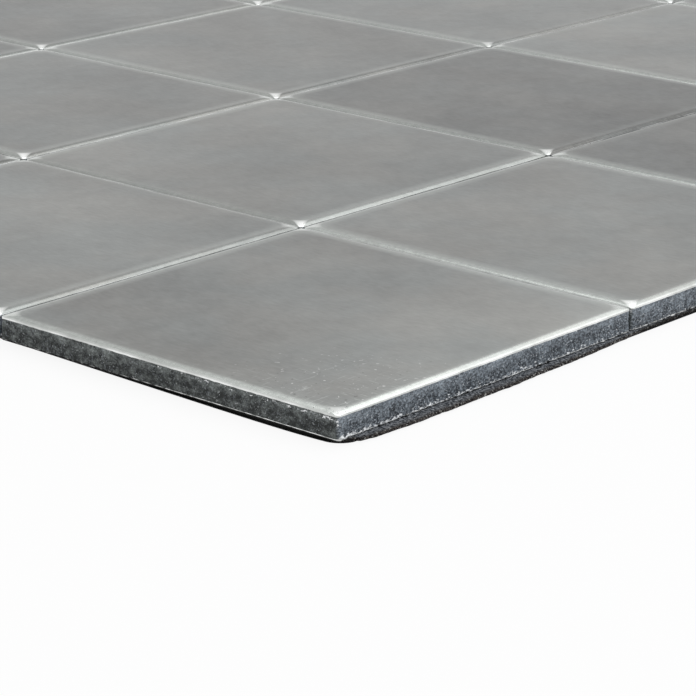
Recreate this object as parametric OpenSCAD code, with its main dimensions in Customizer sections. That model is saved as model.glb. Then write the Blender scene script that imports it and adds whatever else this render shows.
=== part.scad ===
/* Self-adhesive mosaic sheet.
   Square chips, pressed from an aluminium composite panel, lie edge to edge on one adhesive pad.
   The press rolls the face skin down along each chip's edge, so two chips meet in a shallow groove.
   The origin is at the middle of the underside, with +Z towards the face. Lengths are in millimetres. */

/* [Sheet] */
// Chips along each side of the sheet
chips_per_side = 6; // [2:1:6]
// Distance from one chip's centre to the next
chip_pitch = 50; // [40:0.5:60]
// Gap between two chips, measured at their face skins
joint_gap = 0.3; // [0.2:0.05:1.5]

/* [Chip outline] */
// Radius of a chip's four corners, seen from above
chip_corner_r = 0.5; // [0.3:0.1:3]
// Width of the rolled edge, seen from above
roll_width = 1.1; // [0.8:0.05:1.5]
// How far the rolled edge falls below the flat face
roll_drop = 0.3; // [0.2:0.05:0.45]
// How far the pressed wall leans outwards at the chip's foot
foot_flare = 0.05; // [0.02:0.01:0.09]

/* [Composite panel] */
// Thickness of the aluminium face skin
face_t = 0.2; // [0.15:0.05:0.5]
// Thickness of the filled plastic core under the flat face
core_t = 2.65; // [1.4:0.05:4.2]
// Thickness of the aluminium back skin
back_t = 0.15; // [0.1:0.05:0.5]

/* [Adhesive backing] */
// How far the pad reaches past the outer chips' face skins
pad_margin = 0.15; // [0.1:0.05:2]
// Radius of the pad's four corners
pad_corner_r = 2.5; // [1:0.1:5]
// Thickness of the adhesive pad
pad_t = 0.5; // [0.3:0.1:2]
// Thickness of the peel-off film under the pad
film_t = 0.1; // [0.05:0.01:0.3]

/* [Hidden] */
$fn = 48;
chip_half = (chip_pitch - joint_gap) / 2;
panel_t = face_t + core_t + back_t;
core_foot_z = -panel_t + back_t;
chips_z = film_t + pad_t + panel_t;
chip_corner_line = chip_half - chip_corner_r;
wall_lean = foot_flare / (panel_t - roll_drop);
roll_r = (pow(roll_width, 2) + pow(roll_drop, 2)) / (2 * roll_drop);
pad_half = (chips_per_side * chip_pitch - joint_gap) / 2 + pad_margin;
chip_rows = [for (row = [1:chips_per_side]) row];
chip_columns = chip_rows;

function face_name(row, column) = str("face_skin_r", row, "_c", column);
function core_name(row) = str("core_row_", row);
function back_name(row) = str("back_skin_row_", row);

// Centre line of a row or a column, counted from 1 at the low end
function grid_line(number) = (number - (chips_per_side + 1) / 2) * chip_pitch;

// Heights on a chip are measured from its flat face. Its wall leans outwards towards the foot, and is
// as far out as the chip's outline where the roll ends.
function wall_half(height) = chip_half - wall_lean * (height + roll_drop);

// What lies outside a roll: all that is beyond its round in the outer, upper quarter
module beyond_roll() {
    difference() {
        square(2 * roll_r);
        circle(r = roll_r);
    }
}

// The flat face at height top, with the edges along Y rolled down at their radius
module rolled_face(top) {
    rotate([90, 0, 0])
        linear_extrude(chip_pitch, center = true)
            difference() {
                translate([-chip_pitch / 2, top - 2 * panel_t])
                    square([chip_pitch, 2 * panel_t]);
                for (side = [0, 1])
                    mirror([side, 0])
                        translate([chip_half - roll_width, top - roll_r])
                            beyond_roll();
            }
}

// All four edges rolled, so that the rolls meet in mitres at the corners. The block reaches past
// the chip's walls and foot, which trim it.
module rolled_block(top) {
    intersection() {
        rolled_face(top);
        rotate([0, 0, 90]) rolled_face(top);
    }
}

// The chip between two heights, inside its leaning walls and round corners. Where a roll trims its
// top, it starts out higher than the rolled face.
module walled_block(low, high) {
    for (turn = [0, 90])
        rotate([90, 0, turn])
            linear_extrude(2 * chip_corner_line, center = true)
                polygon([
                    [-wall_half(low), low],
                    [wall_half(low), low],
                    [wall_half(high), high],
                    [-wall_half(high), high]
                ]);
    for (turn = [0:90:270])
        rotate([0, 0, turn])
            translate([chip_corner_line, chip_corner_line, 0])
                rotate_extrude(angle = 90)
                    polygon([
                        [0, low],
                        [wall_half(low) - chip_corner_line, low],
                        [wall_half(high) - chip_corner_line, high],
                        [0, high]
                    ]);
}

module place_chip(row, column) {
    translate([grid_line(column), grid_line(row), chips_z])
        children();
}

module face_skin(row, column) {
    color([0.60, 0.61, 0.60])
        place_chip(row, column)
            difference() {
                intersection() {
                    walled_block(-panel_t, face_t);
                    rolled_block(0);
                }
                rolled_block(-face_t);
            }
}

module core_row(row) {
    color([0.25, 0.27, 0.28])
        for (column = chip_columns)
            place_chip(row, column)
                intersection() {
                    walled_block(core_foot_z, 0);
                    rolled_block(-face_t);
                }
}

module back_skin_row(row) {
    color([0.78, 0.79, 0.78])
        for (column = chip_columns)
            place_chip(row, column)
                walled_block(-panel_t, core_foot_z);
}

module backing_outline() {
    pad_corner_line = pad_half - pad_corner_r;
    square([2 * pad_half, 2 * pad_corner_line], center = true);
    square([2 * pad_corner_line, 2 * pad_half], center = true);
    for (x = [-1, 1], y = [-1, 1])
        translate([x * pad_corner_line, y * pad_corner_line])
            circle(r = pad_corner_r);
}

module adhesive_pad() {
    color([0.07, 0.07, 0.07])
        translate([0, 0, film_t])
            linear_extrude(pad_t)
                backing_outline();
}

module release_film() {
    color([0.16, 0.16, 0.17])
        linear_extrude(film_t)
            backing_outline();
}

for (row = chip_rows, column = chip_columns)
    face_skin(row, column);
for (row = chip_rows)
    core_row(row);
for (row = chip_rows)
    back_skin_row(row);
adhesive_pad();
release_film();
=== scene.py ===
"""The looks of a self-adhesive mosaic sheet: pressed metal-faced chips on a black adhesive pad."""

import bpy
import numpy as np
from mathutils import Matrix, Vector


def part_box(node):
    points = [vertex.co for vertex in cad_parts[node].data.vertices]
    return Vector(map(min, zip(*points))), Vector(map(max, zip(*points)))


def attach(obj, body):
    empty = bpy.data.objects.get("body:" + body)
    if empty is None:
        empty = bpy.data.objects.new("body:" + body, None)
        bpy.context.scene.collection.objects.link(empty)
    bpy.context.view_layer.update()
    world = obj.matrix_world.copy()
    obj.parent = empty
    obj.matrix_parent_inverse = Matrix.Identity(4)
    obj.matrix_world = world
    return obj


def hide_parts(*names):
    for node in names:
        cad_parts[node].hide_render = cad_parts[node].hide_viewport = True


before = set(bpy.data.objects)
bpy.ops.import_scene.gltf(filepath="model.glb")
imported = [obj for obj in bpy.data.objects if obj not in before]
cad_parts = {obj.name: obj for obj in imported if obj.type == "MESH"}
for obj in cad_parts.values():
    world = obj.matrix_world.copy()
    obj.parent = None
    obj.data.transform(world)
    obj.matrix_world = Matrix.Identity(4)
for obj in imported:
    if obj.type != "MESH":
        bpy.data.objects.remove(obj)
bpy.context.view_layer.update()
MM = 0.001

# Release film
# A thin dark plastic film covers the tacky side of the pad and is peeled off before the sheet is fixed.
# It is cut together with the pad, so both have the same outline, which the blade left a little askew.
film_low, film_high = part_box("release_film")
backing_corner_r = 2.5 * MM
blade_skew = 1.55 * MM
skew_length = 50 * MM
corner_cut = 0.55 * MM
corner_run = 5 * MM
film_grey = (0.008, 0.008, 0.009, 1)
film_pale = (0.016, 0.016, 0.017, 1)


def outline(side_steps, corner_steps):
    """Walks a rounded square anticlockwise, from the low end of the side that faces +X.

    side_steps gives the steps along the sides that face +X, +Y, -X and -Y. Each point is given as a
    place on the square whose half side is 1, and an outward direction: straight out along a side, and
    turned through a quarter circle at a corner.
    """
    square, outward = [], []
    bend = np.linspace(0, np.pi / 2, corner_steps + 1)[:-1]
    for quarter, steps in enumerate(side_steps):
        run = np.linspace(-1, 1, steps + 1)[:-1]
        places = np.concatenate([np.stack([np.ones(steps), run], -1), np.ones((corner_steps, 2))])
        ways = np.concatenate([
            np.tile([1.0, 0.0], (steps, 1)),
            np.stack([np.cos(bend), np.sin(bend)], -1)])
        turn = np.linalg.matrix_power(np.array([[0.0, -1.0], [1.0, 0.0]]), quarter)
        square.append(places @ turn.T)
        outward.append(ways @ turn.T)
    return np.concatenate(square), np.concatenate(outward)


def ring(path, half, corner_r, height, proud=0.0):
    """One ring of a shell, round a square with round corners: (half - corner_r) times the path's place
    on the square, plus (corner_r + proud) times its outward direction, at a height. half, height and
    proud are numbers, or one value for each point."""
    square, outward = path
    plan = np.reshape(half - corner_r, (-1, 1)) * square
    plan = plan + np.reshape(corner_r + proud, (-1, 1)) * outward
    return np.column_stack([plan, np.broadcast_to(height, len(plan))])


def lay_piece(name, shells, material, crease=0.7):
    """Joins closed shells into one smooth mesh, sharp where two faces meet at more than crease radians.

    A shell is (rings, marks, centre). Its rings run from the middle of the underside outwards, up the
    wall and back over the top, so that quads between neighbouring rings face outwards, and a fan of
    triangles to one middle point closes either end. marks holds one value for each point of the rings.
    """
    points, faces, marks, first = [], [], {}, 0
    for rings, shell_marks, centre in shells:
        count, columns = rings.shape[:2]
        index = first + np.arange(count * columns).reshape(count, columns)
        ahead = np.roll(index, -1, axis=1)
        low, high = np.full(columns, first + index.size), np.full(columns, first + index.size + 1)
        quads = np.stack([index[:-1], ahead[:-1], ahead[1:], index[1:]], -1).reshape(-1, 4)
        fans = np.stack([[low, ahead[0], index[0]], [index[-1], ahead[-1], high]]).transpose(0, 2, 1)
        faces += quads.tolist() + fans.reshape(-1, 3).tolist()
        ends = np.array([[0, 0, rings[0, :, 2].mean()], [0, 0, rings[-1, :, 2].mean()]])
        points.append(np.concatenate([rings.reshape(-1, 3), ends]) + np.array(centre))
        for mark, values in shell_marks.items():
            values = np.broadcast_to(values, (count, columns))
            closed = np.concatenate([values.ravel(), [values[0].mean(), values[-1].mean()]])
            marks.setdefault(mark, []).append(closed)
        first += index.size + 2
    mesh = bpy.data.meshes.new(name)
    mesh.from_pydata(np.concatenate(points).tolist(), [], faces)
    for mark, values in marks.items():
        attribute = mesh.attributes.new(mark, "FLOAT", "POINT")
        attribute.data.foreach_set("value", np.concatenate(values).astype(np.float32))
    mesh.shade_smooth()
    mesh.set_sharp_from_angle(angle=crease)
    mesh.materials.append(material)
    piece = bpy.data.objects.new(name, mesh)
    bpy.context.scene.collection.objects.link(piece)
    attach(piece, "root")
    return piece


def add_node(tree, kind, inputs=None, **settings):
    """Adds one shader node. settings are its properties; inputs are its sockets, each given a plain
    value or the output of another node."""
    node = tree.nodes.new("ShaderNode" + kind)
    for key, value in settings.items():
        setattr(node, key, value)
    for socket, value in (inputs or {}).items():
        if isinstance(value, bpy.types.NodeSocket):
            tree.links.new(value, node.inputs[socket])
        else:
            node.inputs[socket].default_value = value
    return node


def new_finish(name, **sockets):
    """A new material, with the given plain values on its shader's own sockets."""
    material = bpy.data.materials.new(name)
    material.use_nodes = True
    shader = material.node_tree.nodes["Principled BSDF"]
    for socket, value in sockets.items():
        shader.inputs[socket].default_value = value
    return material, material.node_tree, shader


def noise(tree, size, detail=3.0, stretch=(1, 1, 1), roughness=0.5):
    """Noise with features of about the given size in metres, drawn out along an axis by a small
    stretch."""
    place = add_node(tree, "TexCoord").outputs["Object"]
    place = add_node(tree, "Mapping", {"Vector": place, "Scale": stretch}).outputs["Vector"]
    made = add_node(tree, "TexNoise", {
        "Vector": place, "Scale": 1 / size, "Detail": detail, "Roughness": roughness})
    return made.outputs["Fac"]


def mesh_value(tree, name):
    """The value that the mesh holds under a name."""
    return add_node(tree, "Attribute", attribute_name=name).outputs["Fac"]


def span(tree, value, low, high, to_low=0.0, to_high=1.0):
    """Maps low to high onto to_low to to_high, and holds it there."""
    made = add_node(tree, "MapRange", {
        "Value": value, "From Min": low, "From Max": high, "To Min": to_low, "To Max": to_high})
    return made.outputs["Result"]


def figure(tree, operation, first, second):
    """A sum or a product of two values."""
    return add_node(tree, "Math", {0: first, 1: second}, operation=operation).outputs[0]


def blend(tree, share, first, second):
    """A mix of two colours: the first at a share of 0, and the second at 1."""
    return add_node(tree, "Mix", {0: share, 6: first, 7: second}, data_type="RGBA").outputs[2]


def relief(tree, shader, height, depth, strength=1.0, under=None):
    """Raises the surface by depth, in metres, where height is 1, over the relief given as under."""
    inputs = {"Height": height, "Distance": depth, "Strength": strength}
    if under is not None:
        inputs["Normal"] = under
    made = add_node(tree, "Bump", inputs).outputs["Normal"]
    tree.links.new(made, shader.inputs["Normal"])
    return made


def film_finish():
    """Smooth dark film, faintly uneven where it lies over the pad."""
    material, tree, shader = new_finish("release_film", Roughness=0.45)
    shader.inputs["Specular IOR Level"].default_value = 0.1
    tree.links.new(blend(tree, noise(tree, 16 * MM), film_grey, film_pale), shader.inputs["Base Color"])
    relief(tree, shader, noise(tree, 11 * MM, detail=1.0), 0.15 * MM, 0.5)
    return material


def blade_cut(path, half):
    """How far the blade's cut lies inside the outline of the backing, on the side that faces -X. It
    trims the corner at low Y by corner_cut, which dies away over corner_run, and runs in from there to
    blade_skew at skew_length up that side."""
    square, outward = path
    up = (square[:, 1] + 1) * half
    cut = blade_skew * np.clip(up / skew_length, 0, 1) + corner_cut * np.exp(-up / corner_run)
    return cut * np.clip(-outward[:, 0], 0, 1)


backing = outline([750] * 4, 30)
half = film_high.x
film_cut = -blade_cut(backing, half)
film_rings = np.array([
    ring(backing, 0.5 * half, backing_corner_r, film_low.z),
    ring(backing, half, backing_corner_r, film_low.z, film_cut),
    ring(backing, half, backing_corner_r, film_high.z, film_cut),
    ring(backing, 0.5 * half, backing_corner_r, film_high.z)])
release_film = lay_piece("release_film_sheet", [(film_rings, {}, (0, 0, 0))], film_finish())
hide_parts("release_film")

# Adhesive pad
# One black pad of soft acrylic adhesive carries all the chips. A blade cut the sides that face +X and
# -X; on the other two the press squeezed it out under the chips, and grit and metal dust stick to it.
pad_low, pad_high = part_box("adhesive_pad")
squeeze_out = np.array([1.25, -0.15, 0.45, 0.20, 0.60, 0.30]) * MM
far_share = 0.3
blade_recess = 0.15 * MM
pad_black = (0.003, 0.003, 0.003, 1)
grit_dark = (0.006, 0.005, 0.005, 1)
grit_brown = (0.100, 0.088, 0.080, 1)
shelf_dark = (0.030, 0.035, 0.043, 1)
# the pale colour of the ledge is dust and painted light falling on it from above
shelf_dust_and_light = (0.50, 0.52, 0.55, 1)
grit_pale = (0.42, 0.41, 0.39, 1)


def walk(rings):
    """The length walked round a ring up to each point, and the length of the whole ring."""
    steps = np.linalg.norm(np.roll(rings, -1, axis=0) - rings, axis=1)
    return np.concatenate([[0.0], np.cumsum(steps)[:-1]]), steps.sum()


def ripple(walked, around, longest, shortest, seed, waves=9):
    """Unevenness along an outline, about -1 to 1: a sum of sine waves that each fit the outline a whole
    number of times, so it closes on itself. The shorter a wave is, the weaker."""
    lengths = np.geomspace(longest, shortest, waves)
    phases = np.random.default_rng(seed).uniform(0, 2 * np.pi, waves)
    angles = 2 * np.pi * np.outer(walked / around, np.round(around / lengths)) + phases
    weights = np.sqrt(lengths / longest)
    return np.sin(angles) @ weights / np.sqrt((weights ** 2).sum() / 2) / 1.6


def torn(walked, around, depth, along, down, seed):
    """Uneven relief, -1 to 1, for rings by points: random heights at the knots of a net laid round the
    outline and down the wall, along and down apart, eased between the knots by a smooth step."""
    knots_round = max(int(around / along), 3)
    knots_down = int(np.max(depth) / down) + 3
    heights = np.random.default_rng(seed).uniform(-1, 1, (knots_down, knots_round))
    across, below = walked / around * knots_round, np.asarray(depth) / down
    column, row = np.floor(across).astype(int), np.floor(below).astype(int)
    ease_across, ease_down = across - column, below - row
    ease_across = ease_across ** 2 * (3 - 2 * ease_across)
    ease_down = (ease_down ** 2 * (3 - 2 * ease_down))[:, None]
    column, after = column % knots_round, (column + 1) % knots_round
    upper = heights[row][:, column] * (1 - ease_across) + heights[row][:, after] * ease_across
    lower = heights[row + 1][:, column] * (1 - ease_across) + heights[row + 1][:, after] * ease_across
    return upper * (1 - ease_down) + lower * ease_down


def pad_finish():
    """Black adhesive: clean and smooth where the blade cut it, full of brown and pale grit where it is
    squeezed out, and pale on the ledge that this makes under the chips, as dust and as painted light from
    above."""
    material, tree, shader = new_finish("black_adhesive")
    shader.inputs["Specular IOR Level"].default_value = 0.08
    dusty = mesh_value(tree, "squeezed")
    grit = span(tree, noise(tree, 0.26 * MM, detail=4.0, roughness=0.75), 0.49, 0.58)
    brown = blend(tree, grit, grit_dark, grit_brown)
    pale = span(tree, noise(tree, 0.24 * MM, detail=2.0), 0.59, 0.65)
    wall = blend(tree, pale, brown, grit_pale)
    crumbs = span(tree, noise(tree, 0.3 * MM, detail=4.0, roughness=0.7), 0.44, 0.66)
    settled_dust_and_light = blend(tree, crumbs, shelf_dark, shelf_dust_and_light)
    # painted light: the ledge's top rings take the pale crumb colour, as dust and as light from above
    dust = blend(tree, mesh_value(tree, "painted_lit_shelf"), wall, settled_dust_and_light)
    tree.links.new(blend(tree, dusty, pad_black, dust), shader.inputs["Base Color"])
    tree.links.new(span(tree, dusty, 0, 1, 0.50, 0.65), shader.inputs["Roughness"])
    coarse = relief(tree, shader, noise(tree, 0.6 * MM, detail=2.0), 0.10 * MM, 0.5)
    relief(tree, shader, noise(tree, 0.2 * MM, detail=4.0), 0.12 * MM, 0.9, coarse)
    return material


chips = len(squeeze_out)
half = pad_high.x
square, outward = backing
walked, around = walk(ring(backing, half, backing_corner_r, 0))
along_chips = np.clip((square[:, 0] + 1) / 2 * chips, 0, chips - 1e-6)
chip_above = along_chips.astype(int)
along_chip = along_chips - chip_above
swell = np.sin(np.pi * along_chip ** 0.55) ** 0.7
far_side = outward[:, 1] > 0
squeezed = np.where(far_side, far_share * squeeze_out[::-1][chip_above], squeeze_out[chip_above]) * swell
squeezed *= (1 + 0.10 * ripple(walked, around, 30 * MM, 1 * MM, 11)) * outward[:, 1] ** 2
cut_in = blade_recess * (1 + 0.5 * ripple(walked, around, 40 * MM, 2 * MM, 12)) * outward[:, 0] ** 2
cut_in += blade_cut(backing, half)
pad_t = pad_high.z - pad_low.z
pad_levels = np.array([0, 0.08, 0.12, 0.35, 0.60, 0.80, 0.93])
pad_bulge = np.array([0.94, 0.98, 1.0, 1.0, 0.88, 0.68, 0.40])
walled = (1 - pad_levels) * pad_t
pits = torn(walked, around, walled, 0.45 * MM, 0.2 * MM, 13) * 0.06 * MM * outward[:, 1] ** 2
pad_rings = [ring(backing, 0.5 * half, backing_corner_r, pad_low.z)]
for level, bulge, pit in zip(pad_levels, pad_bulge, pits):
    height = pad_low.z + level * pad_t
    pad_rings.append(ring(backing, half, backing_corner_r, height, bulge * squeezed - cut_in + pit))
pad_rings.append(ring(backing, half - 2 * MM, backing_corner_r, pad_high.z))
pad_rings.append(ring(backing, 0.5 * half, backing_corner_r, pad_high.z))
dusty = np.zeros((len(pad_rings), len(walked)))
dusty[3:] = np.clip(0.75 + squeezed / (0.6 * MM), 0, 1) * outward[:, 1] ** 2
# mask for the ledge's top rings, painted pale as dust and as light falling from above
painted_lit_shelf = np.clip((np.array([0, *pad_levels, 1, 1]) - 0.73) / 0.14, 0, 1)[:, None]
adhesive_pad = lay_piece(
    "adhesive_pad_slab", [(np.array(pad_rings), {"squeezed": dusty, "painted_lit_shelf": painted_lit_shelf}, (0, 0, 0))],
    pad_finish(), 1.2)
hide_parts("adhesive_pad")

# Back skins
# The thin aluminium sheet on the back of each chip, bonded to the pad. The press shears it clean on the
# sides that face +X and -X, where painted shade darkens it towards their far ends; on the other two it
# drags torn core over the cut and leaves bright burrs.
chip_corner_r = 0.5 * MM
foot_flare = 0.05 * MM
back_bright = (0.85, 0.86, 0.85, 1)
back_dull = (0.30, 0.31, 0.30, 1)
# dark core colour, also used as painted shade along the foot
dark_core_and_shade = (0.012, 0.012, 0.013, 1)
crushed_core = (0.36, 0.37, 0.38, 1)


def chip_path(row, column, shown_step, hidden_step):
    """The outline, half side and centre of one chip, with short steps along the sides that lie on the
    sheet's own edge."""
    low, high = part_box(f"face_skin_r{row}_c{column}")
    half = 0.5 * (high.x - low.x)
    shown = (column == chips, row == chips, column == 1, row == 1)
    side_steps = [int(2 * half / (shown_step if side else hidden_step)) for side in shown]
    return outline(side_steps, 10), half, (0.5 * (low.x + high.x), 0.5 * (low.y + high.y), 0)


def back_skin_finish():
    """Bright mill-finish aluminium, streaked with dark core that the press pulled over the torn sides,
    darkened by painted shade towards the far ends of the sides that face +X and -X, with pale crushed
    core on the torn sides, and with black adhesive along the foot."""
    material, tree, shader = new_finish("bright_back_skin", Metallic=1.0, Roughness=0.32)
    # this mask carries painted shade on the sides that face +X and -X as well as dark core on the torn sides
    reach = figure(tree, "MULTIPLY", mesh_value(tree, "dragged_core_and_shade"), 0.5)
    smear_and_shade = span(tree, figure(tree, "ADD", noise(tree, 0.65 * MM), reach), 0.58, 0.98)
    streaks = blend(tree, span(tree, noise(tree, 0.9 * MM), 0.35, 0.6), back_dull, back_bright)
    crushed = span(tree, noise(tree, 0.45 * MM), 0.42, 0.56)
    crushed = figure(tree, "MULTIPLY", crushed, mesh_value(tree, "torn_side"))
    core_smear_and_shade = blend(tree, crushed, dark_core_and_shade, crushed_core)
    smear_and_painted_light = blend(tree, smear_and_shade, streaks, core_smear_and_shade)
    tree.links.new(blend(tree, mesh_value(tree, "gummed"), smear_and_painted_light, pad_black), shader.inputs["Base Color"])
    relief(tree, shader, noise(tree, 0.25 * MM), 0.04 * MM, 0.5)
    return material


back_skin_metal = back_skin_finish()
for row in range(1, chips + 1):
    node = f"back_skin_row_{row}"
    low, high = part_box(node)
    shells = []
    for column in range(1, chips + 1):
        path, half, centre = chip_path(row, column, 0.3 * MM, 4 * MM)
        foot_half, foot_r = half + foot_flare, chip_corner_r + foot_flare
        walked, around = walk(ring(path, foot_half, foot_r, 0))
        along_side = 0.5 * (path[0][:, 1] + 1)
        # painted shade: darkens the sides that face +X and -X towards their far ends
        dragged_core_and_shade = np.clip((along_side - 0.27) / 0.45, 0, 1) * path[1][:, 0] ** 2
        torn_side = path[1][:, 1] ** 2
        dragged_core_and_shade += 0.8 * torn_side
        burr = ripple(walked, around, 2 * MM, 0.6 * MM, 100 * row + column)
        uneven = (0.01 + 0.05 * torn_side) * MM * burr
        lift = 0.07 * MM * torn_side * np.clip(burr, 0, 1)
        rings = np.array([
            ring(path, foot_half - 2 * MM, foot_r, low.z),
            ring(path, foot_half, foot_r, low.z, uneven - 0.02 * MM),
            ring(path, foot_half, foot_r, low.z + 0.03 * MM, uneven),
            ring(path, foot_half, foot_r, low.z + 0.08 * MM, uneven),
            ring(path, foot_half, foot_r, high.z - 0.055 * MM + lift, uneven),
            ring(path, foot_half, foot_r, high.z - 0.03 * MM + lift, uneven),
            ring(path, foot_half, foot_r, high.z + lift, uneven - 0.03 * MM),
            ring(path, foot_half - 2 * MM, foot_r, high.z)])
        gummed = np.array([0, 1, 1, 1, 0, 0, 0, 0])[:, None] * path[1][:, 0] ** 2
        shells.append((rings, {"dragged_core_and_shade": dragged_core_and_shade, "torn_side": torn_side, "gummed": gummed}, centre))
    back_skin = lay_piece(f"back_skins_{row}", shells, back_skin_metal)
    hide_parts(node)

# Cores
# The filled plastic between the two skins. It is sheared and torn by the press, so its wall is rough and
# full of mineral grains that glint. The torn wall is coarser on the sides that face +X and -X.
roll_width = 1.1 * MM
roll_drop = 0.3 * MM
core_dark = (0.010, 0.013, 0.0125, 1)
core_pale = (0.300, 0.330, 0.320, 1)
core_dark_blue = (0.020, 0.026, 0.034, 1)
core_pale_blue = (0.390, 0.440, 0.490, 1)
grain_pale = (0.48, 0.52, 0.57, 1)
fleck_bright = (0.62, 0.64, 0.66, 1)
# metal colour for smears, and for the painted glint at the chip corners
metal_smear_and_glint = (0.85, 0.86, 0.87, 1)


def core_finish():
    """Dark filled plastic in torn patches, paler towards the face, with pale mineral grains, small
    bright metal smudges, and a painted glint part way down each chip corner, strongest on the first chip.
    The sides that face +Y and -Y are bluer and more finely grained."""
    material, tree, shader = new_finish("torn_core")
    shader.inputs["Specular IOR Level"].default_value = 0.4
    fine_side = mesh_value(tree, "fine_side")
    paler = span(tree, mesh_value(tree, "under_face"), 0, 1, -0.04, 0.06)
    rough = noise(tree, 1.2 * MM, detail=6.0, stretch=(1, 1, 1.5), roughness=0.75)
    rough = figure(tree, "ADD", rough, paler)
    patches = span(tree, rough, 0.42, 0.76)
    chunky = blend(tree, patches, core_dark, core_pale)
    broad = span(tree, noise(tree, 1.8 * MM, detail=2.0), 0.3, 0.7, -0.09, 0.09)
    powder = noise(tree, 0.42 * MM, detail=4.0, stretch=(1, 1, 1.5), roughness=0.75)
    powder = figure(tree, "ADD", powder, paler)
    powdery = span(tree, figure(tree, "ADD", powder, broad), 0.38, 0.80)
    fine = blend(tree, powdery, core_dark_blue, core_pale_blue)
    crumbs = noise(tree, 0.28 * MM, detail=3.0, stretch=(1, 1, 1.4), roughness=0.7)
    crumbs = span(tree, crumbs, 0.35, 0.65, 0.45, 1.55)
    base = blend(tree, fine_side, chunky, fine)
    base = add_node(tree, "VectorMath", {0: base, "Scale": crumbs}, operation="SCALE").outputs[0]
    more_on_fine = span(tree, fine_side, 0, 1, 0.35, 1)
    beds = span(tree, noise(tree, 1.7 * MM, detail=2.0), 0.35, 0.62, 0.15, 1.0)
    grains = span(tree, noise(tree, 0.22 * MM, detail=1.0), 0.56, 0.66)
    grains = figure(tree, "MULTIPLY", figure(tree, "MULTIPLY", grains, beds), more_on_fine)
    grained = blend(tree, grains, base, grain_pale)
    flecks = span(tree, noise(tree, 0.26 * MM, detail=1.0), 0.69, 0.73)
    flecks = figure(tree, "MULTIPLY", flecks, span(tree, fine_side, 0, 1, 0.7, 1))
    flecked = blend(tree, flecks, grained, fleck_bright)
    # this mask holds metal smears and the painted corner glint
    more = figure(tree, "MULTIPLY", mesh_value(tree, "smear_and_painted_light"), 0.31)
    smears = noise(tree, 0.4 * MM, detail=5.0, stretch=(0.8, 0.8, 1.5), roughness=0.65)
    smears = span(tree, figure(tree, "ADD", smears, more), 0.71, 0.77)
    tree.links.new(blend(tree, smears, flecked, metal_smear_and_glint), shader.inputs["Base Color"])
    tree.links.new(smears, shader.inputs["Metallic"])
    tree.links.new(span(tree, patches, 0, 1, 0.65, 0.45), shader.inputs["Roughness"])
    chunks = noise(tree, 0.7 * MM, detail=3.0, stretch=(1, 1, 1.4))
    coarse = relief(tree, shader, chunks, 0.30 * MM, 0.7)
    relief(tree, shader, noise(tree, 0.2 * MM, detail=3.0, roughness=0.7), 0.12 * MM, 0.9, coarse)
    return material


torn_core = core_finish()
for row in range(1, chips + 1):
    node = f"core_row_{row}"
    low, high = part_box(node)
    rolled_under = high.z - roll_drop
    levels = np.linspace(low.z, rolled_under, 13)
    depth = rolled_under - levels
    shells = []
    for column in range(1, chips + 1):
        path, half, centre = chip_path(row, column, 0.2 * MM, 1.5 * MM)
        walked, around = walk(ring(path, half, chip_corner_r, 0))
        facing_x, facing_y = path[1][:, 0] ** 2, path[1][:, 1] ** 2
        seed = 100 * row + column
        chunks = torn(walked, around, depth, 1.1 * MM, 0.8 * MM, 1000 + seed) * 0.06 * facing_x
        tears = torn(walked, around, depth, 0.5 * MM, 0.45 * MM, 2000 + seed) * 0.04
        pits = torn(walked, around, depth, 0.22 * MM, 0.22 * MM, 3000 + seed) * 0.03
        settle = np.clip(np.minimum(depth, depth[::-1]) / (0.25 * MM), 0.25, 1)[:, None]
        proud = (chunks + tears + pits) * MM * settle - 0.04 * MM
        rings = [ring(path, half - 2 * MM, chip_corner_r, low.z)]
        for level, below, rough in zip(levels, depth, proud):
            lean = foot_flare * below / depth[0]
            rings.append(ring(path, half + lean, chip_corner_r + lean, level, rough))
        rings.append(ring(path, half - 0.5 * roll_width, chip_corner_r, high.z - 0.12 * MM))
        rings.append(ring(path, half - roll_width, chip_corner_r, high.z))
        # painted glint: a bright metal patch part way down each chip corner, full strength on the first chip
        corner = np.clip(4 * np.sqrt(facing_x * facing_y) - 1, 0, 1)
        corner = corner * np.exp(-((depth / depth[0] - 0.35) / 0.15) ** 2)[:, None]
        corner *= 1.0 if row == column == 1 else 0.3
        burrs = (0.85 if column == 1 else 0.45) * (1 - 0.2 * (path[0][:, 0] + 1)) * facing_y
        near_foot = np.clip(1.2 - depth[::-1] / (0.6 * MM), 0, 1)[:, None] * burrs
        smear_and_painted_light = np.zeros((len(rings), len(walked)))
        under_lip = np.exp(-((depth - 0.28 * MM) / (0.22 * MM)) ** 2)[:, None] * facing_x
        under_lip = under_lip * np.clip(0.75 - 0.35 * (path[0][:, 1] + 1), 0, 1)
        smear_and_painted_light[1:len(levels) + 1] = np.clip(corner + near_foot + under_lip, 0, 1)
        under_face = np.ones((len(rings), 1))
        under_face[:len(levels) + 1, 0] = np.clip(1.6 - 3.2 * np.array([1, *(depth / depth[0])]), 0, 1)
        marks = {"fine_side": facing_y, "smear_and_painted_light": smear_and_painted_light, "under_face": under_face}
        shells.append((np.array(rings), marks, centre))
    core = lay_piece(f"torn_cores_{row}", shells, torn_core, 1.3)
    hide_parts(node)

# Face skins
# The satin aluminium sheet that faces the room. The press rolls its edge down round each chip and
# leaves a bare, slightly ragged cut edge under it. The bright band on the roll is burnishing and painted
# highlight together, set side by side and chip by chip, with painted highlight on the flat beside it,
# at the chip corners and along the lip.
face_skin_t = 0.2 * MM
roll_r = (roll_width ** 2 + roll_drop ** 2) / (2 * roll_drop)
lip_r = 0.10 * MM
die_corner_r = 1.8 * MM
chip_tilt = 0.02 * MM
face_grey = (0.188, 0.192, 0.189)
face_warm = (1.015, 1.0, 0.965, 1)
face_cool = (0.970, 1.0, 0.990, 1)
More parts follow.
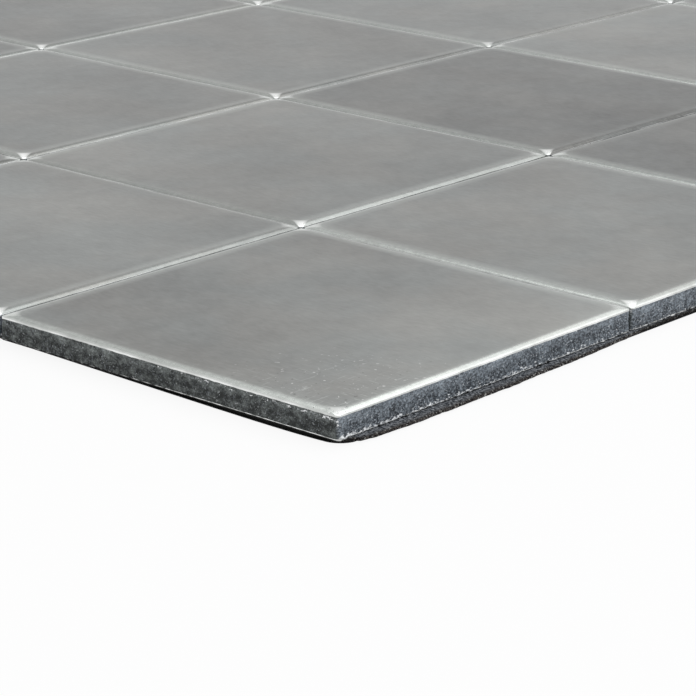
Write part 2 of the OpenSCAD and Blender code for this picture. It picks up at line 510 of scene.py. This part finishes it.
# grey of the roll: burnishing and painted highlight
burnish_and_highlight_grey = (0.47, 0.495, 0.475)
# how far the painted highlight beside the roll reaches onto the flat
painted_halo_reach = 1.3 * MM
# bare metal of the cut edge, also used for painted highlights on the lip and at chip corners
bare_edge_and_highlight = (0.86, 0.87, 0.86, 1)
dust_white = (0.75, 0.75, 0.75, 1)
dust_dark = (0.03, 0.03, 0.03, 1)
dusty_reach = 24 * MM
rubbed_share = 0.4
rubbed_reach = 18 * MM
sheet_corner = np.array([-0.15, -0.15, 0.0])


def face_finish():
    """Satin grey aluminium with clouded handling marks and a fine grain; brighter on the roll and just
    beside it, which is burnishing and painted highlight together; bare on the cut edge, with painted
    highlight where that bare colour runs up the lip and into the chip corners; and with dust and hair
    scratches near one corner."""
    material, tree, shader = new_finish("satin_face_skin", Metallic=1.0)
    rolled = mesh_value(tree, "rolled")
    grain = noise(tree, 0.45 * MM, detail=4.0, stretch=(1, 0.3, 1), roughness=0.6)
    level = figure(tree, "ADD", mesh_value(tree, "tone"), 1.0)
    level = figure(tree, "ADD", level, span(tree, noise(tree, 22 * MM), 0.3, 0.7, -0.14, 0.14))
    level = figure(tree, "ADD", level, span(tree, noise(tree, 3 * MM), 0.3, 0.7, -0.07, 0.07))
    level = figure(tree, "ADD", level, span(tree, grain, 0.3, 0.7, -0.10, 0.10))
    tint = blend(tree, span(tree, noise(tree, 15 * MM), 0.4, 0.6), face_warm, face_cool)
    flat = add_node(tree, "VectorMath", {0: face_grey, "Scale": level}, operation="SCALE").outputs[0]
    flat = add_node(tree, "VectorMath", {0: flat, 1: tint}, operation="MULTIPLY").outputs[0]
    scuffs = span(tree, noise(tree, 0.6 * MM), 0.35, 0.65, 0.90, 1.08)
    bright = add_node(tree, "VectorMath", {0: burnish_and_highlight_grey, "Scale": scuffs}, operation="SCALE").outputs[0]
    clean_cut = span(tree, noise(tree, 5 * MM), 0.4, 0.6, 0.45, 1)
    # this mask carries the bare cut edge and painted highlights on the lip and at chip corners
    bared_and_highlight = figure(tree, "MULTIPLY", mesh_value(tree, "cut"), clean_cut)
    bare = blend(tree, bared_and_highlight, blend(tree, mesh_value(tree, "wear_and_highlight"), flat, bright), bare_edge_and_highlight)
    place = add_node(tree, "TexCoord").outputs["Object"]
    away = add_node(tree, "VectorMath", {0: place, 1: sheet_corner}, operation="DISTANCE").outputs["Value"]
    near = span(tree, away, 0, dusty_reach, 1, 0)
    specks = noise(tree, 0.42 * MM, detail=0.0)
    pale = figure(tree, "MULTIPLY", span(tree, specks, 0.79, 0.83), near)
    dark = figure(tree, "MULTIPLY", span(tree, specks, 0.20, 0.16), near)
    hairs_x = span(tree, noise(tree, 0.4 * MM, detail=2.0, stretch=(0.13, 1, 1)), 0.63, 0.68)
    hairs_y = span(tree, noise(tree, 0.4 * MM, detail=2.0, stretch=(1, 0.16, 1)), 0.63, 0.68)
    hairs = figure(tree, "MAXIMUM", hairs_x, hairs_y)
    hairs = figure(tree, "MULTIPLY", hairs, span(tree, near, 0.1, 0.8, 0, 0.42))
    scratched = blend(tree, hairs, bare, bright)
    dusty = blend(tree, dark, blend(tree, pale, scratched, dust_white), dust_dark)
    tree.links.new(dusty, shader.inputs["Base Color"])
    tree.links.new(span(tree, rolled, 0, 1, 0.34, 0.25), shader.inputs["Roughness"])
    wide = relief(tree, shader, noise(tree, 7 * MM, detail=2.0), 0.02 * MM, 0.5)
    relief(tree, shader, grain, 0.008 * MM, 0.7, wide)
    return material


def rolled_rings(path, half, top, angles, drop):
    """Rings along the roll, at the given angles from upright on an arc of radius roll_r that starts
    level with top, roll_width inside the chip. The corner radius grows from the chip's own at the end
    of the roll to the die's at its start, and drop, one value for each point, deepens the roll."""
    rings = []
    for angle in angles:
        inset = roll_width - roll_r * np.sin(angle)
        corner_r = chip_corner_r + (die_corner_r - chip_corner_r) * inset / roll_width
        rings.append(ring(path, half - inset, corner_r, top - roll_r * (1 - np.cos(angle)) * drop))
    return rings


def lip_rings(path, half, top, angles, drop):
    """Rings round the lip, at the given angles from upright on an arc of radius lip_r that carries on
    from the end of the roll and ends upright on the cut edge."""
    start = top - roll_r * (1 - np.cos(roll_angle)) * drop
    rings = []
    for angle in angles:
        inset = lip_r * (1 - np.sin(angle))
        height = start - lip_r * (np.cos(roll_angle) - np.cos(angle))
        rings.append(ring(path, half - inset, chip_corner_r, height))
    return rings


satin_face = face_finish()
roll_angle = np.arcsin((roll_width - 0.5 * lip_r) / roll_r)
draw = np.random.default_rng(5)
tones = draw.uniform(-0.42, -0.20, (chips, chips))
tones[:2, :2] = [[-0.05, -0.12], [0.05, -0.14]]
tones[[0, 1, 2], [2, 2, 0]] = [-0.52, -0.50, -0.45]
fades = draw.uniform(-0.10, 0.10, (chips, chips, 2))
fades[0, 0] = [0.04, -0.18]
tilts = draw.uniform(-chip_tilt, chip_tilt, (chips, chips, 2))
# roll brightness for each chip's sides +X, +Y, -X, -Y: painted highlight that follows where the lamps fall,
# with burnishing
roll_burnish_and_highlight = draw.uniform(-0.08, 0.08, (chips, chips, 4)) + [0.58, 0.80, 0.50, 0.25]
roll_burnish_and_highlight[:, -1, 0] = roll_burnish_and_highlight[-1, :, 1] = roll_burnish_and_highlight[:, 0, 2] = 0.62
roll_burnish_and_highlight[0, :, 3] = [0.42, 0.36, 0.36, 0.36, 0.36, 0.36]
roll_burnish_and_highlight[:2, 1, 2] = [0.60, 0.30]
roll_burnish_and_highlight[0, 2:, 1] = roll_burnish_and_highlight[1, 3:, 1] = 0.30
roll_burnish_and_highlight[1, :, 3] = [0.12, 0.32, 0.0, 0.0, 0.0, 0.0]
roll_burnish_and_highlight[2, :, 3] = [0.12, 0.10, 0.0, 0.0, 0.0, 0.0]
roll_burnish_and_highlight[1, :3, 1] = [0.55, 0.70, 0.40]
# painted highlight on the flat beside the roll, widening the bright joint lines, per side of each chip
painted_halo_levels = np.full((chips, chips, 4), 0.28)
painted_halo_levels[0, 0] = 0.36
painted_halo_levels[:, -1, 0] = painted_halo_levels[-1, :, 1] = painted_halo_levels[:, 0, 2] = painted_halo_levels[0, :, 3] = 0.10
painted_halo_levels[1, :2, [0, 2]] = 0.08
painted_halo_levels[0, 2:, 1] = painted_halo_levels[1, 2:, 3] = painted_halo_levels[1, 3:, 1] = painted_halo_levels[2, 3:, 3] = 0.12
for row in range(1, chips + 1):
    for column in range(1, chips + 1):
        node = f"face_skin_r{row}_c{column}"
        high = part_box(node)[1]
        path, half, centre = chip_path(row, column, 0.4 * MM, 1.2 * MM)
        outward = path[1]
        walked, around = walk(ring(path, half, chip_corner_r, 0))
        seed = 100 * row + column
        drop = 1 + 0.05 * ripple(walked, around, 25 * MM, 2 * MM, 4000 + seed)
        ragged = 0.02 * MM * ripple(walked, around, 2 * MM, 1.2 * MM, 5000 + seed, 3)
        under = high.z - face_skin_t
        foot = under - roll_drop * drop
        beneath = rolled_rings(path, half, under, np.linspace(0, roll_angle, 5), drop)
        beneath[-1] = ring(path, half - 0.04 * MM, chip_corner_r, foot)
        edge = ring(path, half, chip_corner_r, foot + 0.02 * MM + ragged)
        lip = lip_rings(path, half, high.z, np.linspace(np.pi / 2, roll_angle, 5), drop)
        over = rolled_rings(path, half, high.z, np.linspace(roll_angle, 0, 9)[1:], drop)
        flat_half = half - roll_width
        inner = [ring(path, part, die_corner_r, high.z) for part in (flat_half - painted_halo_reach, 0.5 * flat_half)]
        rings = [ring(path, 0.5 * half, die_corner_r, under), *beneath, edge, *lip, *over, *inner]
        rings = np.array(rings)
        lean_x, lean_y = tilts[row - 1, column - 1] / half
        rings[:, :, 2] += lean_x * rings[:, :, 0] + lean_y * rings[:, :, 1] - 2 * chip_tilt
        rolled, cut = np.zeros((len(rings), 1)), np.zeros((len(rings), 1))
        start = 2 + len(beneath)
        rolled[start:start + len(lip)] = 1
        rolled[start + len(lip):-len(inner), 0] = np.clip(np.linspace(2.2, 0, len(over) + 1)[1:], 0, 1)
        cut[start - 2:start] = 1
        cut[start:start + len(lip), 0] = np.linspace(1, 0, len(lip))
        # painted highlight: the bare colour runs further up the lip on the sheet's own edges
        lip_highlight = np.zeros(len(rings))
        lip_highlight[start:start + len(lip) + 1] = np.linspace(1, 0.2, len(lip) + 1)
        # painted highlight: bare colour at the chip corners, strongest where four chips cross
        at_corner = np.clip(2 * np.abs(outward[:, 0] * outward[:, 1]), 0, 1)
        corner_highlight = at_corner * np.where((outward < 0).all(axis=1), 0.95, 0.25)
        cut = np.maximum(cut, np.sqrt(rolled) * corner_highlight)
        sides = np.clip(np.stack([outward[:, 0], outward[:, 1], -outward[:, 0], -outward[:, 1]]), 0, 1) ** 2
        on_sheet_edge = np.array([column == chips, row == chips, column == 1, row == 1]) @ sides
        cut = np.maximum(cut, np.outer(lip_highlight, on_sheet_edge))
        from_corner = np.linalg.norm(rings[start, :, :2] + np.array(centre[:2]) - sheet_corner[:2], axis=1)
        on_roll = roll_burnish_and_highlight[row - 1, column - 1] @ sides + rubbed_share * np.exp(-from_corner / rubbed_reach)
        beside_roll = painted_halo_levels[row - 1, column - 1] @ sides
        # painted highlight: roll brightness per side and chip, brighter at chip corners, plus painted
        # highlight on the flat beside the roll
        wear_and_highlight = rolled * (on_roll + 0.6 * at_corner) + (1 - rolled) * beside_roll
        wear_and_highlight[-len(inner):] = wear_and_highlight[:start - 2] = 0
        tone = tones[row - 1, column - 1] + rings[:, :, :2] @ fades[row - 1, column - 1] / half
        marks = {"rolled": rolled, "cut": cut, "tone": tone, "wear_and_highlight": np.clip(wear_and_highlight, 0, 1)}
        face_skin = lay_piece(f"face_skin_{row}_{column}", [(rings, marks, centre)], satin_face)
        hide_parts(node)

# Floor
# A plain white table. It keeps a faint shadow of the sheet and is not part of the object.
floor_half = 3.0
floor_z = -0.05 * MM
shadow_share = 0.12


def seen_white(tree):
    """1 where the camera looks, or a reflection or a clear thing shows it, and 0 for plain light."""
    path = add_node(tree, "LightPath").outputs
    seen = figure(tree, "ADD", path["Is Camera Ray"], path["Is Glossy Ray"])
    return figure(tree, "MINIMUM", figure(tree, "ADD", seen, path["Is Transmission Ray"]), 1.0)


def floor_finish():
    """White where it is seen, with a share of plain lit white that holds the shadow."""
    material = bpy.data.materials.new("white_floor")
    material.use_nodes = True
    tree = material.node_tree
    tree.nodes.clear()
    share = figure(tree, "MULTIPLY", seen_white(tree), 1.0 - shadow_share)
    lit = add_node(tree, "BsdfDiffuse", {"Color": (0.85, 0.85, 0.85, 1)}).outputs[0]
    white = add_node(tree, "Emission", {"Color": (1, 1, 1, 1), "Strength": 1.03}).outputs[0]
    mixed = add_node(tree, "MixShader", {0: share, 1: lit, 2: white}).outputs[0]
    add_node(tree, "OutputMaterial", {"Surface": mixed})
    return material


floor_mesh = bpy.data.meshes.new("floor")
floor_mesh.from_pydata(
    [(x * floor_half, y * floor_half, floor_z) for x, y in ((-1, -1), (1, -1), (1, 1), (-1, 1))],
    [], [(0, 1, 2, 3)])
floor_mesh.materials.append(floor_finish())
floor = bpy.data.objects.new("floor", floor_mesh)
bpy.context.scene.collection.objects.link(floor)

# Light
# An even white studio, with soft boxes above and behind the sheet that brighten the rolled edges, and a
# weak cool one low in front that falls on the torn wall.
room_level = 0.50
studio = bpy.data.worlds.new("studio")
bpy.context.scene.world = studio
studio.use_nodes = True
studio_tree = studio.node_tree
studio_tree.nodes.clear()
room = add_node(studio_tree, "Background", {"Color": (1, 1, 1, 1), "Strength": room_level}).outputs[0]
white = add_node(studio_tree, "Background", {"Color": (1, 1, 1, 1), "Strength": 1.0}).outputs[0]
mixed = add_node(studio_tree, "MixShader", {0: seen_white(studio_tree), 1: room, 2: white}).outputs[0]
add_node(studio_tree, "OutputWorld", {"Surface": mixed})


def place_at(thing, side, up, back, place):
    """Puts a lamp or a camera at a place, with its own X, Y and Z along side, up and back."""
    turned = np.column_stack([side, up, back, place])
    thing.matrix_world = Matrix(turned.tolist() + [[0, 0, 0, 1]])
    bpy.context.scene.collection.objects.link(thing)


def soft_box(name, bearing, elevation, distance, width, height, level, colour):
    """A soft box aimed at the middle of the near edge. bearing is degrees from +X towards +Y, elevation
    is degrees above the table, and level is how much brighter it looks than the white behind it."""
    lamp = bpy.data.lights.new(name, "AREA")
    lamp.shape, lamp.size, lamp.size_y, lamp.color = "RECTANGLE", width, height, colour
    lamp.energy = 4 * level * width * height
    turned, raised = np.radians(bearing), np.radians(elevation)
    away = np.array([np.cos(turned) * np.cos(raised), np.sin(turned) * np.cos(raised), np.sin(raised)])
    side = np.array([-np.sin(turned), np.cos(turned), 0.0])
    place = np.array([-0.12, -0.12, 0.0]) + distance * away
    place_at(bpy.data.objects.new(name, lamp), side, np.cross(away, side), away, place)


soft_box("box_behind_right", -3, 44, 1.6, 1.5, 0.65, 1.1, (1.0, 1.0, 1.0))
soft_box("box_above", 40, 66, 1.5, 0.9, 0.8, 1.3, (1.0, 1.0, 1.0))
soft_box("box_low_front", -70, 22, 1.4, 0.9, 0.6, 1.3, (0.80, 0.90, 1.0))

# Camera
# Placed and aimed as a fit to the joints and corners of the sheet in the photograph gives it.
camera_place = np.array([-353.7, -328.1, 97.7]) * MM
camera_bearing, camera_dip, camera_roll = np.radians([40.97, 17.86, 0.55])
focal_px, image_px = 2878, 696

camera = bpy.data.cameras.new("camera")
camera.sensor_width = 36.0
camera.lens = focal_px / image_px * camera.sensor_width
camera.clip_start = 0.01
forward = np.array([
    np.cos(camera_bearing) * np.cos(camera_dip),
    np.sin(camera_bearing) * np.cos(camera_dip), -np.sin(camera_dip)])
level = np.array([np.sin(camera_bearing), -np.cos(camera_bearing), 0.0])
above = np.cross(level, forward)
right = level * np.cos(camera_roll) + above * np.sin(camera_roll)
above = above * np.cos(camera_roll) - level * np.sin(camera_roll)
viewer = bpy.data.objects.new("camera", camera)
place_at(viewer, right, above, -forward, camera_place)
bpy.context.scene.camera = viewer
bpy.context.scene.view_settings.view_transform = "Standard"
